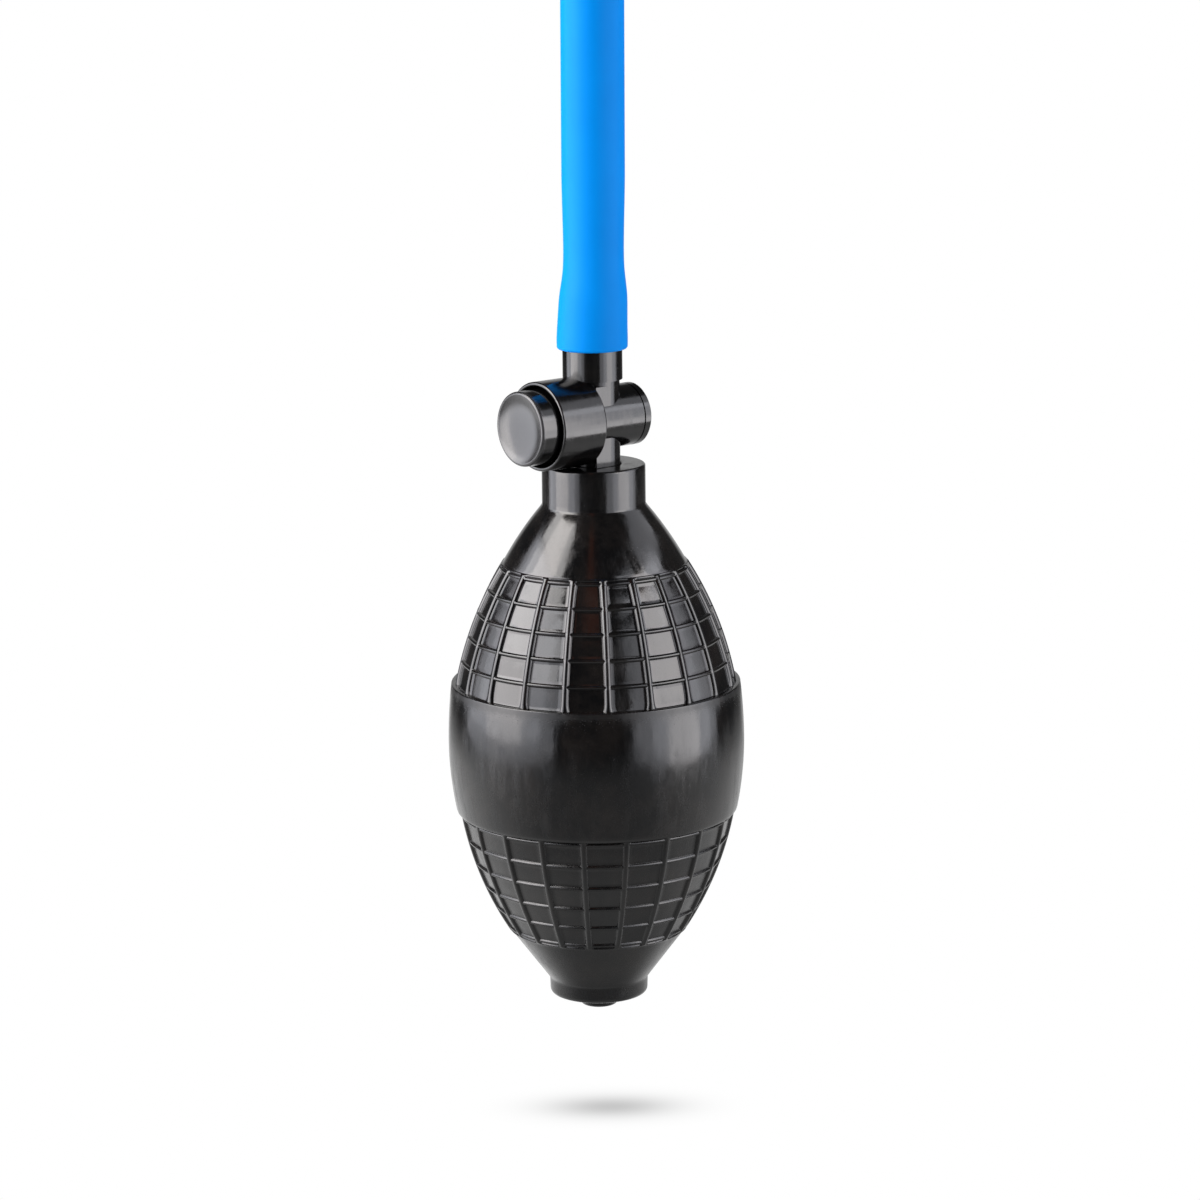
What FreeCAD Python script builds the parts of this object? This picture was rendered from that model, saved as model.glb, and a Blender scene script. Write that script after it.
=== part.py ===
"""Ball inflation pump: a squeeze bulb that hangs on its hose, with a push-button release valve.

Millimetres, +Z up. The origin is on the hose connector's axis, at the shoulder where its plain
spigot begins, and the pump hangs down -Z from there. The release button faces -Y.
"""
import FreeCAD, Part
import math
import os

from FreeCAD import Vector

# Where things are, along Z.
NECK_TOP = -90.0
VALVE_AXIS = NECK_TOP + 7.55
HOSE_LOW_END = NECK_TOP + 19.4
HOSE_HIGH_END = -5.0

# Bulb, as (radius, drop below the neck's top).
NECK_R = 8.7
NECK_DROP = 7.0
NECK_ROUND = 0.4
BULB_OUTSIDE = [
    (12.15, 11.5),
    (15.4, 16.7),
    (15.75, 16.7),
    (20.6, 26.4, 23.7, 37.2),
    (24.3, 37.2),
    (25.0, 46.0, 23.7, 59.5),
    (23.4, 59.5),
    (20.35, 70.0, 15.35, 80.1),
    (15.1, 80.1),
    (8.4, 88.9),
    (8.3, 91.2),
    (7.7, 91.8),
]
BULB_INSIDE = [
    (13.0, 78.7),
    (18.4, 69.5, 22.8, 47.0),
    (18.6, 27.4, 13.4, 18.2),
    (10.0, 12.6),
]
NECK_BORE_R = 5.2
NECK_BORE_DROP = 9.5
NECK_MOUTH_R = 4.5
NECK_MOUTH_DROP = 1.5
TAIL_BORE_R = 5.0
TAIL_BORE_DROP = 87.6
TAIL_DROP = 91.8
TAIL_FLANGE_GAP = 0.4

# Pressed walls of the bulb: the oval patch of each side that a hand pushes in.
WALL_MIDDLE_DROP = 47.5
WALL_HALF_HEIGHT = 26.0
WALL_HALF_WIDTH = 17.0
WALL_START_Y = 10.5
WALL_GAP = 0.3
WALL_REACH = 30.0

# Release valve, lengths along its own axis from the bulb's axis, positive towards the button.
HOUSING_R = 7.45
HOUSING_START = 2.9
HOUSING_MOUTH = 11.95
HOUSING_BORE_R = 6.75
HOUSING_FLOOR = 5.4
HOUSING_ROUND = 0.35
HOUSING_LIP_ROUND = 0.3
BARREL_R = 5.25
BARREL_END = -6.9
CHAMBER_R = 3.5
SEAT_AT = 4.0
SEAT_HOLE_R = 2.2
CAP_END = -8.6
CAP_CHAMFER = 0.35
CAP_GROOVE = 0.25
CAP_NECK_R = 4.85
CAP_PLUG_R = 3.42
CAP_PLUG_END = -4.7
CAP_SEAL_AT = -5.85
CAP_SEAL_THICK = 0.9

# Release button and its plunger.
BUTTON_R = 6.25
BUTTON_FACE = 15.6
BUTTON_TRAVEL = 3.0
BUTTON_BACK_GAP = 0.8
BUTTON_BACK = HOUSING_FLOOR + BUTTON_TRAVEL + BUTTON_BACK_GAP
BUTTON_RIM = 1.1
BUTTON_DISH = 0.6
BUTTON_DISH_FLAT_R = 2.6
BUTTON_ROUND = 0.45
BUTTON_POCKET_R = 4.6
BUTTON_BOSS_R = 2.5
BUTTON_POCKET_END = 12.6
STEM_R = 1.5
STEM_END = 13.6
POPPET_R = 2.9
POPPET_THICK = 1.2
SEAL_THICK = 0.8
SEAL_GAP = 0.03
SPRING_R = 3.5
SPRING_WIRE = 0.5
SPRING_TURNS = 5.0
SPRING_END_GAP = 0.05

# Stem, collar and spigot of the valve body, heights above the neck's top. The web fills the
# corner between the stem and the button housing, as wide as the stem.
STEM_OUT_R = 4.5
COLLAR_R = 5.0
COLLAR_FOOT = 14.35
WEB_FOOT = 0.1
WEB_TOP = 13.6
SPIGOT_TIP = 30.0
SPIGOT_BARBS = [(5.0, 22.6), (4.6, 23.0), (4.9, 26.0), (4.4, 26.4), (4.7, 28.6)]
SPIGOT_TIP_R = 3.9
AIR_R = 1.75
PLUG_DROP = 9.0
PLUG_BARBS = [(4.7, 9.0), (5.25, 6.0), (4.7, 5.6), (5.25, 2.2)]

# Check valves.
BALL_R = 1.9
BALL_LIFT = 1.0
BALL_SEAT_GAP = 0.02
BALL_STOP_GAP = 0.05
CHECK_CHAMBER_R = 3.2
CHECK_HOLE_R = 1.3
CAGE_THICK = 1.2
CAGE_HOLE_R = 0.8
CAGE_HOLE_PITCH_R = 1.9
CAGE_HOLES = 3
OUTLET_SEAT_DROP = 7.2
INTAKE_SEAT_DROP = 89.4
INTAKE_TOP_DROP = 83.0
INTAKE_FLANGE_R = 6.2
INTAKE_FLANGE_THICK = 1.2
NUB_R = 3.2
NUB_DROP = 94.0
NUB_ROUND = 0.6
FILTER_R = 2.1
FILTER_THICK = 0.5
FILTER_RECESS = 0.5
FILTER_HOLES = 7
FILTER_HOLE_R = 0.3
FILTER_PITCH_R = 1.25

# Hose and its connector; the hose's widths go with heights above the neck's top.
HOSE_R = 5.25
HOSE_BORE_R = 4.0
HOSE_LOW_R = 5.9
HOSE_FLARE_R = 5.7
HOSE_NECKED_R = 5.03
HOSE_END_ROUND = 0.4
FLARE_TOP = 27.8
NECKED_LOW = 34.5
NECKED_HIGH = 38.5
HOSE_STRAIGHT = 47.0
BORE_FLARE = 24.4
BORE_TAPER_END = 35.0
CONNECTOR_FLANGE_R = 5.6
CONNECTOR_BARB_R = 4.15
CONNECTOR_BARB_ROOT_R = 3.7
CONNECTOR_BARB_LENGTH = 12.0
CONNECTOR_BARBS = 3
BARB_CREST = 0.7
BARB_BACK = 0.8
CONNECTOR_TIP_LENGTH = 0.8
CONNECTOR_TIP_TAPER = 0.6
CONNECTOR_BORE_R = 1.75
CONNECTOR_SPIGOT_R = 3.0
CONNECTOR_SPIGOT_LENGTH = 9.0
GRIP_R = 7.2
GRIP_LOW = -12.5
GRIP_GAP = 0.05
GRIP_FLUTES = 18
GRIP_FLUTE_R = 0.55
GRIP_FLUTE_MARGIN = 1.8
GRIP_CHAMFER = 0.6

# How far a quarter round's middle lies inside its corner, as a share of its radius.
ARC_SAG = 1 - math.cos(math.radians(45))

AXIS_Z = Vector(0, 0, 1)
CENTRE = Vector(0, 0, 0)


def half_section(points):
    """Closed face in the XZ plane; (r, z) is reached by a line, (r, z, r, z) by an arc."""
    edges = []
    last = Vector(points[0][0], 0, points[0][1])
    for point in points[1:] + [points[0]]:
        end = Vector(point[-2], 0, point[-1])
        if len(point) == 4:
            edges.append(Part.Arc(last, Vector(point[0], 0, point[1]), end).toShape())
        elif end.distanceToPoint(last) > 1e-6:
            edges.append(Part.makeLine(last, end))
        last = end
    return Part.Face(Part.Wire(edges))


def turned(points):
    """Solid turned about the Z axis from a half section."""
    return half_section(points).revolve(CENTRE, AXIS_Z, 360)


def dropped(points):
    """The same points with each drop below the neck's top changed to a height."""
    heights = []
    for point in points:
        turned_down = [NECK_TOP - value if i % 2 else value for i, value in enumerate(point)]
        heights.append(tuple(turned_down))
    return heights


def rod(radius, low, high):
    """Cylinder on the Z axis between two heights."""
    return Part.makeCylinder(radius, high - low, Vector(0, 0, low), AXIS_Z)


def ring(outer, inner, low, high):
    """Flat ring on the Z axis between two heights."""
    return rod(outer, low, high).cut(rod(inner, low - 1, high + 1))


def on_valve_axis(shape):
    """Lay a shape that was made along +Z on the valve's axis, +Z towards the button."""
    shape.rotate(CENTRE, Vector(1, 0, 0), 90)
    shape.translate(Vector(0, 0, VALVE_AXIS))
    return shape


def whole_bulb():
    """The moulded bulb, with its neck bore and tail bore."""
    outside = [
        (NECK_MOUTH_R, 0),
        (NECK_R - NECK_ROUND, 0),
        (NECK_R, NECK_ROUND),
        (NECK_R, NECK_DROP),
    ] + BULB_OUTSIDE
    inside = [
        (TAIL_BORE_R, TAIL_DROP),
        (TAIL_BORE_R, TAIL_BORE_DROP),
        (INTAKE_FLANGE_R + TAIL_FLANGE_GAP, TAIL_BORE_DROP),
    ] + BULB_INSIDE
    mouth = [
        (NECK_BORE_R, NECK_BORE_DROP),
        (NECK_BORE_R, NECK_MOUTH_DROP),
        (NECK_MOUTH_R, NECK_MOUTH_DROP),
    ]
    return turned(dropped(outside + inside + mouth))


def wall_oval(shrink, start, length):
    """Oval prism along Y, in the middle of the bulb's height."""
    oval = Part.Ellipse(CENTRE, WALL_HALF_HEIGHT - shrink, WALL_HALF_WIDTH - shrink).toShape()
    prism = Part.Face(Part.Wire([oval])).extrude(Vector(0, 0, length))
    prism.rotate(CENTRE, AXIS_Z, 90)
    prism.rotate(CENTRE, Vector(1, 0, 0), -90)
    prism.translate(Vector(0, start, NECK_TOP - WALL_MIDDLE_DROP))
    return prism


def bulb_pieces():
    """The bulb's shell and the two walls that move in when it is squeezed."""
    bulb = whole_bulb()
    back_patch = wall_oval(WALL_GAP, WALL_START_Y + WALL_GAP, WALL_REACH)
    back_window = wall_oval(0.0, WALL_START_Y, WALL_REACH)
    front_patch = wall_oval(WALL_GAP, -WALL_START_Y - WALL_GAP - WALL_REACH, WALL_REACH)
    front_window = wall_oval(0.0, -WALL_START_Y - WALL_REACH, WALL_REACH)
    return {
        "bulb_shell": bulb.cut(back_window).cut(front_window),
        "bulb_front_wall": bulb.common(front_patch),
        "bulb_back_wall": bulb.common(back_patch),
    }


def button_bore():
    """Space that the button slides in, flared by the lip's inner round."""
    flare_r = HOUSING_BORE_R + HOUSING_LIP_ROUND
    round_start = HOUSING_MOUTH - HOUSING_LIP_ROUND
    across = HOUSING_LIP_ROUND * (1 - math.cos(math.radians(45)))
    along = HOUSING_LIP_ROUND * math.sin(math.radians(45))
    points = [
        (0, HOUSING_FLOOR),
        (HOUSING_BORE_R, HOUSING_FLOOR),
        (HOUSING_BORE_R, round_start),
        (HOUSING_BORE_R + across, round_start + along, flare_r, HOUSING_MOUTH),
        (flare_r, HOUSING_MOUTH + 1),
        (0, HOUSING_MOUTH + 1),
    ]
    return turned(points)


def valve_body():
    """T-shaped body: button housing, rear barrel, stem with its plug, collar and hose spigot."""
    housing = rod(HOUSING_R, HOUSING_START, HOUSING_MOUTH)
    housing = housing.makeFillet(HOUSING_ROUND, [housing.Edges[0], housing.Edges[2]])
    barrel = rod(BARREL_R, BARREL_END, HOUSING_START)
    across = on_valve_axis(housing.fuse(barrel))
    plug = [(0, NECK_TOP - PLUG_DROP)] + dropped(PLUG_BARBS)
    stem = [
        (STEM_OUT_R, NECK_TOP - NECK_MOUTH_DROP),
        (STEM_OUT_R, NECK_TOP + COLLAR_FOOT),
        (COLLAR_R, NECK_TOP + COLLAR_FOOT),
    ]
    spigot = [(r, NECK_TOP + height) for r, height in SPIGOT_BARBS]
    tip = [(SPIGOT_TIP_R, NECK_TOP + SPIGOT_TIP), (0, NECK_TOP + SPIGOT_TIP)]
    web_corner = Vector(-STEM_OUT_R, -HOUSING_START, NECK_TOP + WEB_FOOT)
    web = Part.makeBox(2 * STEM_OUT_R, HOUSING_START, WEB_TOP - WEB_FOOT, web_corner)
    body = across.fuse(turned(plug + stem + spigot + tip)).fuse(web).removeSplitter()
    across_bores = rod(CHAMBER_R, BARREL_END - 1, SEAT_AT)
    across_bores = across_bores.fuse(rod(SEAT_HOLE_R, SEAT_AT - 1, HOUSING_FLOOR + 1))
    across_bores = across_bores.fuse(button_bore())
    air_way = rod(AIR_R, NECK_TOP - PLUG_DROP - 1, NECK_TOP + SPIGOT_TIP + 1)
    check_top = NECK_TOP - OUTLET_SEAT_DROP + BALL_R * 2 + BALL_LIFT + CAGE_THICK
    check_chamber = rod(CHECK_CHAMBER_R, NECK_TOP - PLUG_DROP - 1, check_top)
    return body.cut(on_valve_axis(across_bores)).cut(air_way).cut(check_chamber)


def rear_cap():
    """End cap of the rear barrel, with a plug and a groove for its O-ring."""
    seal_low = CAP_SEAL_AT - CAP_SEAL_THICK / 2
    seal_high = CAP_SEAL_AT + CAP_SEAL_THICK / 2
    groove_r = CHAMBER_R - CAP_SEAL_THICK
    points = [
        (0, CAP_END),
        (BARREL_R - CAP_CHAMFER, CAP_END),
        (BARREL_R, CAP_END + CAP_CHAMFER),
        (BARREL_R, BARREL_END - CAP_GROOVE),
        (CAP_NECK_R, BARREL_END - CAP_GROOVE),
        (CAP_NECK_R, BARREL_END),
        (CAP_PLUG_R, BARREL_END),
        (CAP_PLUG_R, seal_low),
        (groove_r, seal_low),
        (groove_r, seal_high),
        (CAP_PLUG_R, seal_high),
        (CAP_PLUG_R, CAP_PLUG_END),
        (0, CAP_PLUG_END),
    ]
    return on_valve_axis(turned(points))


def rear_cap_seal():
    """O-ring in the rear cap's groove."""
    middle_r = CHAMBER_R - CAP_SEAL_THICK / 2
    seal = Part.makeTorus(middle_r, CAP_SEAL_THICK / 2, Vector(0, 0, CAP_SEAL_AT), AXIS_Z)
    return on_valve_axis(seal)


def release_button():
    """Round button: dished face, rounded rim, and a pocket behind for the spring."""
    dish_r = BUTTON_R - BUTTON_RIM
    curve_r = ((dish_r - BUTTON_DISH_FLAT_R) ** 2 + BUTTON_DISH**2) / (2 * BUTTON_DISH)
    half_way = (dish_r - BUTTON_DISH_FLAT_R) / 2
    dish_floor = BUTTON_FACE - BUTTON_DISH
    half_way_rise = curve_r - math.sqrt(curve_r**2 - half_way**2)
    points = [
        (BUTTON_BOSS_R, BUTTON_BACK),
        (BUTTON_BOSS_R, BUTTON_POCKET_END),
        (BUTTON_POCKET_R, BUTTON_POCKET_END),
        (BUTTON_POCKET_R, BUTTON_BACK),
        (BUTTON_R, BUTTON_BACK),
        (BUTTON_R, BUTTON_FACE - BUTTON_ROUND),
        (BUTTON_R - ARC_SAG * BUTTON_ROUND, BUTTON_FACE - ARC_SAG * BUTTON_ROUND,
         BUTTON_R - BUTTON_ROUND, BUTTON_FACE),
        (dish_r, BUTTON_FACE),
        (BUTTON_DISH_FLAT_R + half_way, dish_floor + half_way_rise, BUTTON_DISH_FLAT_R, dish_floor),
        (0, dish_floor),
        (0, STEM_END),
        (STEM_R, STEM_END),
        (STEM_R, BUTTON_BACK),
    ]
    return on_valve_axis(turned(points))


def plunger_stem():
    """Stem pressed into the button, with the poppet's head at its other end."""
    head_high = SEAT_AT - SEAL_GAP - SEAL_THICK
    points = [
        (0, head_high - POPPET_THICK),
        (POPPET_R, head_high - POPPET_THICK),
        (POPPET_R, head_high),
        (STEM_R, head_high),
        (STEM_R, STEM_END),
        (0, STEM_END),
    ]
    return on_valve_axis(turned(points))


def poppet_seal():
    """Rubber washer between the poppet's head and the release seat."""
    high = SEAT_AT - SEAL_GAP
    return on_valve_axis(ring(POPPET_R, STEM_R, high - SEAL_THICK, high))


def release_spring():
    """Coil spring between the housing's floor and the button's pocket."""
    low = HOUSING_FLOOR + SPRING_WIRE / 2 + SPRING_END_GAP
    high = BUTTON_POCKET_END - SPRING_WIRE / 2 - SPRING_END_GAP
    path = Part.makeHelix((high - low) / SPRING_TURNS, high - low, SPRING_R)
    start = Vector(SPRING_R, 0, 0)
    circle = Part.makeCircle(SPRING_WIRE / 2, start, Vector(0, 1, 0))
    coil = Part.Wire(path).makePipeShell([Part.Wire([circle])], True, True)
    coil.translate(Vector(0, 0, low))
    return on_valve_axis(coil)


def ball_height(seat_height):
    """Height of a ball's centre when it rests on the rim of its seat's hole."""
    return seat_height + math.sqrt(BALL_R**2 - CHECK_HOLE_R**2) + BALL_SEAT_GAP


def check_ball(seat_height):
    """Ball of a check valve, resting on its seat."""
    return Part.makeSphere(BALL_R, Vector(0, 0, ball_height(seat_height)))


def ball_cage(seat_height, radius):
    """Drilled disc that stops a check valve's ball when it has lifted."""
    low = ball_height(seat_height) + BALL_R + BALL_LIFT + BALL_STOP_GAP
    cage = rod(radius, low, low + CAGE_THICK)
    for step in range(CAGE_HOLES):
        angle = 2 * math.pi * step / CAGE_HOLES
        x = CAGE_HOLE_PITCH_R * math.cos(angle)
        y = CAGE_HOLE_PITCH_R * math.sin(angle)
        cage = cage.cut(Part.makeCylinder(CAGE_HOLE_R, CAGE_THICK + 2, Vector(x, y, low - 1)))
    return cage


def outlet_valve_seat():
    """Bush in the plug's mouth, with the outlet ball's seat on top."""
    return ring(CHECK_CHAMBER_R, CHECK_HOLE_R, NECK_TOP - PLUG_DROP, NECK_TOP - OUTLET_SEAT_DROP)


def intake_valve_body():
    """Insert pressed into the tail from inside, with its nub below the tail collar."""
    tail = NECK_TOP - TAIL_DROP
    flange_low = NECK_TOP - TAIL_BORE_DROP
    points = [
        (0, NECK_TOP - NUB_DROP),
        (NUB_R - NUB_ROUND, NECK_TOP - NUB_DROP),
        (NUB_R - ARC_SAG * NUB_ROUND, NECK_TOP - NUB_DROP + ARC_SAG * NUB_ROUND,
         NUB_R, NECK_TOP - NUB_DROP + NUB_ROUND),
        (NUB_R, tail),
        (TAIL_BORE_R, tail),
        (TAIL_BORE_R, flange_low),
        (INTAKE_FLANGE_R, flange_low),
        (INTAKE_FLANGE_R, flange_low + INTAKE_FLANGE_THICK),
        (TAIL_BORE_R, flange_low + INTAKE_FLANGE_THICK),
        (TAIL_BORE_R, NECK_TOP - INTAKE_TOP_DROP),
        (0, NECK_TOP - INTAKE_TOP_DROP),
    ]
    seat = NECK_TOP - INTAKE_SEAT_DROP
    nub_end = NECK_TOP - NUB_DROP
    hole = rod(CHECK_HOLE_R, nub_end - 1, seat + 1)
    chamber = rod(CHECK_CHAMBER_R, seat, NECK_TOP - INTAKE_TOP_DROP + 1)
    mouth = rod(FILTER_R, nub_end - 1, nub_end + FILTER_RECESS + FILTER_THICK)
    return turned(points).cut(hole).cut(chamber).cut(mouth)


def intake_filter():
    """Drilled dust screen inside the nub's mouth."""
    low = NECK_TOP - NUB_DROP + FILTER_RECESS
    screen = rod(FILTER_R, low, low + FILTER_THICK)
    holes = [(0.0, 0.0)]
    for step in range(FILTER_HOLES - 1):
        angle = 2 * math.pi * step / (FILTER_HOLES - 1)
        holes.append((FILTER_PITCH_R * math.cos(angle), FILTER_PITCH_R * math.sin(angle)))
    for x, y in holes:
        hole = Part.makeCylinder(FILTER_HOLE_R, FILTER_THICK + 2, Vector(x, y, low - 1))
        screen = screen.cut(hole)
    return screen


def hose():
    """Soft hose, stretched over the valve's spigot and straight up to the connector."""
    wall = HOSE_R - HOSE_BORE_R
    stretched_bore = SPIGOT_BARBS[0][0]
    tip_bore = SPIGOT_BARBS[-1][0]
    points = [
        (stretched_bore, HOSE_LOW_END),
        (HOSE_LOW_R - HOSE_END_ROUND, HOSE_LOW_END),
        (HOSE_LOW_R, HOSE_LOW_END + HOSE_END_ROUND),
        (HOSE_FLARE_R, NECK_TOP + FLARE_TOP),
        (HOSE_NECKED_R, NECK_TOP + NECKED_LOW),
        (HOSE_NECKED_R, NECK_TOP + NECKED_HIGH),
        (HOSE_R, NECK_TOP + HOSE_STRAIGHT),
        (HOSE_R, HOSE_HIGH_END),
        (HOSE_BORE_R, HOSE_HIGH_END),
        (HOSE_BORE_R, NECK_TOP + HOSE_STRAIGHT),
        (HOSE_NECKED_R - wall, NECK_TOP + NECKED_HIGH),
        (HOSE_NECKED_R - wall, NECK_TOP + BORE_TAPER_END),
        (tip_bore, NECK_TOP + SPIGOT_TIP),
        (stretched_bore, NECK_TOP + BORE_FLARE),
    ]
    return turned(points)


def hose_connector():
    """Barbed insert in the hose's upper end, with a flange and the plain spigot above it."""
    barb_step = CONNECTOR_BARB_LENGTH / CONNECTOR_BARBS
    points = [(0, HOSE_HIGH_END - CONNECTOR_BARB_LENGTH)]
    for barb in range(CONNECTOR_BARBS):
        low = HOSE_HIGH_END - CONNECTOR_BARB_LENGTH + barb * barb_step
        points.append((CONNECTOR_BARB_ROOT_R, low))
        points.append((CONNECTOR_BARB_R, low + barb_step * BARB_CREST))
        points.append((CONNECTOR_BARB_ROOT_R, low + barb_step * BARB_BACK))
    points += [
        (CONNECTOR_BARB_ROOT_R, HOSE_HIGH_END),
        (CONNECTOR_FLANGE_R, HOSE_HIGH_END),
        (CONNECTOR_FLANGE_R, 0),
        (CONNECTOR_SPIGOT_R, 0),
        (CONNECTOR_SPIGOT_R, CONNECTOR_SPIGOT_LENGTH - CONNECTOR_TIP_LENGTH),
        (CONNECTOR_SPIGOT_R - CONNECTOR_TIP_TAPER, CONNECTOR_SPIGOT_LENGTH),
        (0, CONNECTOR_SPIGOT_LENGTH),
    ]
    bore = rod(CONNECTOR_BORE_R, HOSE_HIGH_END - CONNECTOR_BARB_LENGTH - 1, CONNECTOR_SPIGOT_LENGTH + 1)
    return turned(points).cut(bore)


def connector_grip():
    """Fluted grip sleeve around the hose's upper end and the connector's flange."""
    points = [
        (HOSE_R + GRIP_GAP, GRIP_LOW),
        (GRIP_R - GRIP_CHAMFER, GRIP_LOW),
        (GRIP_R, GRIP_LOW + GRIP_CHAMFER),
        (GRIP_R, -GRIP_CHAMFER),
        (GRIP_R - GRIP_CHAMFER, 0),
        (CONNECTOR_FLANGE_R, 0),
        (CONNECTOR_FLANGE_R, HOSE_HIGH_END),
        (HOSE_R + GRIP_GAP, HOSE_HIGH_END),
    ]
    grip = turned(points)
    flutes = []
    for step in range(GRIP_FLUTES):
        angle = 2 * math.pi * step / GRIP_FLUTES
        foot = Vector(GRIP_R * math.cos(angle), GRIP_R * math.sin(angle), GRIP_LOW + GRIP_FLUTE_MARGIN)
        length = -GRIP_LOW - 2 * GRIP_FLUTE_MARGIN
        flutes.append(Part.makeCylinder(GRIP_FLUTE_R, length, foot, AXIS_Z))
    return grip.cut(Part.makeCompound(flutes))


def all_pieces():
    """Every node's name and shape."""
    outlet_seat = NECK_TOP - OUTLET_SEAT_DROP
    intake_seat = NECK_TOP - INTAKE_SEAT_DROP
    pieces = bulb_pieces()
    pieces["valve_body"] = valve_body()
    pieces["rear_cap"] = rear_cap()
    pieces["rear_cap_seal"] = rear_cap_seal()
    pieces["release_button"] = release_button()
    pieces["plunger_stem"] = plunger_stem()
    pieces["poppet_seal"] = poppet_seal()
    pieces["release_spring"] = release_spring()
    pieces["outlet_valve_seat"] = outlet_valve_seat()
    pieces["outlet_ball"] = check_ball(outlet_seat)
    pieces["outlet_ball_cage"] = ball_cage(outlet_seat, CHECK_CHAMBER_R)
    pieces["intake_valve_body"] = intake_valve_body()
    pieces["intake_ball"] = check_ball(intake_seat)
    pieces["intake_ball_cage"] = ball_cage(intake_seat, CHECK_CHAMBER_R)
    pieces["intake_filter"] = intake_filter()
    pieces["hose"] = hose()
    pieces["hose_connector"] = hose_connector()
    pieces["connector_grip"] = connector_grip()
    return pieces


os.makedirs("parts", exist_ok=True)
for name, shape in all_pieces().items():
    if not shape.isValid() or not shape.Solids:
        raise SystemExit(name + " is not a sound solid")
    if len(shape.Solids) == 1:
        shape = shape.Solids[0]
    shape.exportStep("parts/" + name + ".step")
    print(name, round(shape.Volume, 1), "mm3")
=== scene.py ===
"""Looks of a ball inflation pump: squeeze bulb, push-button release valve and blue hose.

Lengths in the outlines are millimetres; heights in them are counted from the bulb's neck top.
"""
import math

import bmesh
import bpy
import numpy as np
from mathutils import Matrix, Vector

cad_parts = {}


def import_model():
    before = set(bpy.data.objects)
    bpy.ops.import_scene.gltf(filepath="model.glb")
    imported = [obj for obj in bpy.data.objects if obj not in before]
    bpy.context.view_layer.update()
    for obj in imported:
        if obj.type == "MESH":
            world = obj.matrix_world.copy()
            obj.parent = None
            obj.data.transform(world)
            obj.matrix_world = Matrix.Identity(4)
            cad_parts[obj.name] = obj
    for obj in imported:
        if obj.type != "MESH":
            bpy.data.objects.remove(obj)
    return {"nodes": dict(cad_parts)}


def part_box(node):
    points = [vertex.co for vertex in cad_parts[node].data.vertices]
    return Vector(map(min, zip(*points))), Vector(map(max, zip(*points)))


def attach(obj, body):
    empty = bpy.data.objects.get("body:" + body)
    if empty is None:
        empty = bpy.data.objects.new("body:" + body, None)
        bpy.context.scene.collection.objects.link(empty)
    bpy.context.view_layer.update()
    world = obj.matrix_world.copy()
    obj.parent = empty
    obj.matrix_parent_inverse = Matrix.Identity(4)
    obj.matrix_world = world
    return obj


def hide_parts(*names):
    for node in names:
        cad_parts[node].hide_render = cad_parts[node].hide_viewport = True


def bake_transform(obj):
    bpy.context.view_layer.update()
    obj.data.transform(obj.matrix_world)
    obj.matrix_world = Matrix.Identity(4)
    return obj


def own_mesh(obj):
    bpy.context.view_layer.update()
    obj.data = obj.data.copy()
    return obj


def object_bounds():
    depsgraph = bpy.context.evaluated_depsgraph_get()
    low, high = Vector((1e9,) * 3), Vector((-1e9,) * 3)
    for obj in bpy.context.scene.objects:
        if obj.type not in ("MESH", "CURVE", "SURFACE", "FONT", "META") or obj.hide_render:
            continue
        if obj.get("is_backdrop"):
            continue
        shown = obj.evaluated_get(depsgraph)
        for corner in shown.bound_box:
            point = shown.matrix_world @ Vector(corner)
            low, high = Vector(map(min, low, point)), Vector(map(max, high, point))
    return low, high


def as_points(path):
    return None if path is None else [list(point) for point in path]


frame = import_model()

CAD_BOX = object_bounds()
MM = 0.001
NECK_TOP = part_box("bulb_shell")[1].z

# Camera, as it stands to the pump: degrees, metres for its distance, millimetres for lens and aim.
VIEW_AZIMUTH = 51.0
VIEW_ELEVATION = 12.2
VIEW_ROLL = 0.6
VIEW_LENS = 132.0
VIEW_DISTANCE = 0.740
AIM_BELOW_NECK = 23.4
AIM_RIGHT = 0.85

# Floor under the hanging pump, and the soft shadow painted on it: millimetres for its drop, else
# metres.
FLOOR_BELOW_NECK = 112.8
FLOOR_Z = NECK_TOP - FLOOR_BELOW_NECK * MM
FLOOR_RADIUS = 0.027
FLOOR_NARROWED = 0.56
SHADOW_RIGHT = 0.0019
SHADOW_WIDE = 0.00775
SHADOW_DEEP = 0.0041
SHADOW_DARK = 0.430

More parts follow.
